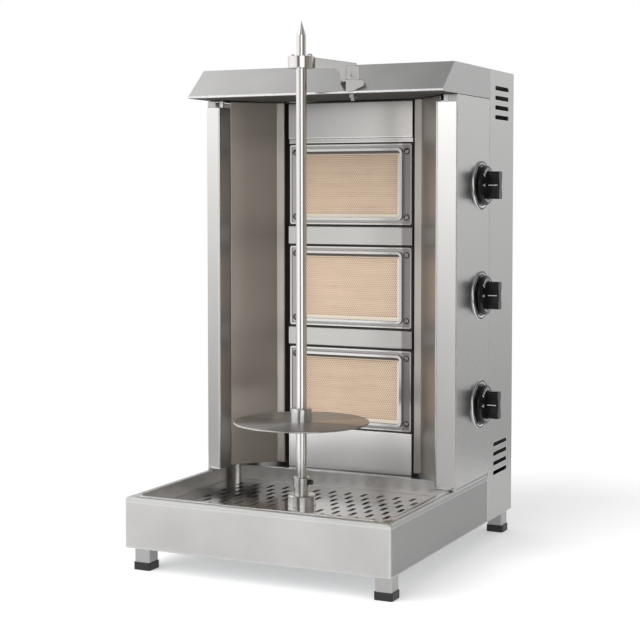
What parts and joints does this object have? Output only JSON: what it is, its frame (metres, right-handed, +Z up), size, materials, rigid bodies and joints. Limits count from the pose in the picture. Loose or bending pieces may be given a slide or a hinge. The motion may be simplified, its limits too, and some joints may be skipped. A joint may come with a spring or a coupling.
{
  "type": "doner kebab grill",
  "caption": "Upright gas grill for doner kebab: a spit with a meat plate turns in front of stacked ceramic burners over a deep drip tray, with side wings and round knobs.",
  "frame": {"origin": "middle of the footprint's bounding box, at floor level under the foot caps", "axes": "+X to the knobs' side, +Y to the back, +Z up along the spit"},
  "size_m": [0.5372, 0.622, 0.954],
  "materials": {
    "steel": "brushed",
    "bright_steel": "polished",
    "grey_steel": "mill",
    "chrome_trim": "polished",
    "grey_aluminium": "cast",
    "black_plastic": "satin",
    "brass": "machined",
    "burner_ceramic": "matte, finely perforated"
  },
  "bodies": {
    "cabinet": {"base_housing": "steel", "base_floor": "grey_steel", "leg_front_left": "steel", "leg_front_right": "steel", "leg_rear_left": "steel", "leg_rear_right": "steel", "foot_caps": "black_plastic", "drip_pan": "bright_steel", "gear_motor": "grey_aluminium", "bearing_boss": "bright_steel", "top_arm": "bright_steel", "ring_pins": "bright_steel", "arm_bracket": "bright_steel", "bracket_bolts": "grey_steel", "canopy": "steel", "left_wing": "steel", "right_wing": "steel", "left_reflector": "steel", "right_reflector": "steel", "left_side_panel": "steel", "right_side_panel": "steel", "rear_cover": "steel", "column_frame": "steel", "top_panel": "steel", "lower_panel": "steel", "burner_frame_bottom": "steel", "burner_frame_middle": "steel", "burner_frame_top": "steel", "ceramic_plate_bottom": "burner_ceramic", "ceramic_plate_middle": "burner_ceramic", "ceramic_plate_top": "burner_ceramic", "burner_box_bottom": "grey_steel", "burner_box_middle": "grey_steel", "burner_box_top": "grey_steel", "gas_manifold": "brass", "gas_valve_bottom": "brass", "gas_valve_middle": "brass", "gas_valve_top": "brass", "knob_bezel_bottom": "chrome_trim", "knob_bezel_middle": "chrome_trim", "knob_bezel_top": "chrome_trim", "frame_screws": "bright_steel", "cable_gland": "black_plastic"},
    "plate": {"perforated_plate": "bright_steel"},
    "drive": {"drive_socket": "bright_steel"},
    "thumb_screw": {"thumb_screw": "black_plastic"},
    "spit": {"spit": "bright_steel"},
    "disc": {"meat_disc": "bright_steel", "disc_hub": "bright_steel"},
    "disc_screw": {"disc_set_screw": "grey_steel"},
    "ring_gate": {"ring_gate": "bright_steel"},
    "plug_bottom": {"valve_plug_bottom": "brass"},
    "knob_bottom": {"valve_spindle_bottom": "grey_steel", "knob_bottom": "black_plastic"},
    "plug_middle": {"valve_plug_middle": "brass"},
    "knob_middle": {"valve_spindle_middle": "grey_steel", "knob_middle": "black_plastic"},
    "plug_top": {"valve_plug_top": "brass"},
    "knob_top": {"valve_spindle_top": "grey_steel", "knob_top": "black_plastic"}
  },
  "joints": [
    {"name": "plate_lift", "type": "slide", "parent": "cabinet", "child": "plate", "axis": [0, 0, 1], "range_m": [0, 0.028]},
    {"name": "spit_drive", "type": "hinge", "parent": "cabinet", "child": "drive", "pos_m": [-0.01865, -0.126, 0.11], "axis": [0, 0, 1], "continuous": true},
    {"name": "spit_lift", "type": "slide", "parent": "drive", "child": "spit", "axis": [0, 0, 1], "range_m": [0, 0.028]},
    {"name": "disc_height", "type": "slide", "parent": "spit", "child": "disc", "axis": [0, 0, 1], "range_m": [-0.09, 0.45]},
    {"name": "thumb_screw_turn", "type": "hinge", "parent": "drive", "child": "thumb_screw", "pos_m": [-0.00065, -0.126, 0.1456], "axis": [1, 0, 0], "range_deg": [0, 720]},
    {"name": "disc_screw_turn", "type": "hinge", "parent": "disc", "child": "disc_screw", "pos_m": [-0.01865, -0.112, 0.2645], "axis": [0, 1, 0], "range_deg": [0, 720]},
    {"name": "gate_swing", "type": "hinge", "parent": "cabinet", "child": "ring_gate", "pos_m": [-0.03535, -0.126, 0.882], "axis": [0, 0, 1], "range_deg": [-110, 0]},
    {"name": "knob_turn_bottom", "type": "hinge", "parent": "cabinet", "child": "plug_bottom", "pos_m": [0.22135, 0.105, 0.269], "axis": [1, 0, 0], "range_deg": [0, 180]},
    {"name": "knob_push_bottom", "type": "slide", "parent": "plug_bottom", "child": "knob_bottom", "axis": [-1, 0, 0], "range_m": [0, 0.003], "stiffness_N_per_m": 500},
    {"name": "knob_turn_middle", "type": "hinge", "parent": "cabinet", "child": "plug_middle", "pos_m": [0.22135, 0.105, 0.469], "axis": [1, 0, 0], "range_deg": [0, 180]},
    {"name": "knob_push_middle", "type": "slide", "parent": "plug_middle", "child": "knob_middle", "axis": [-1, 0, 0], "range_m": [0, 0.003], "stiffness_N_per_m": 500},
    {"name": "knob_turn_top", "type": "hinge", "parent": "cabinet", "child": "plug_top", "pos_m": [0.22135, 0.105, 0.669], "axis": [1, 0, 0], "range_deg": [0, 180]},
    {"name": "knob_push_top", "type": "slide", "parent": "plug_top", "child": "knob_top", "axis": [-1, 0, 0], "range_m": [0, 0.003], "stiffness_N_per_m": 500}
  ]
}
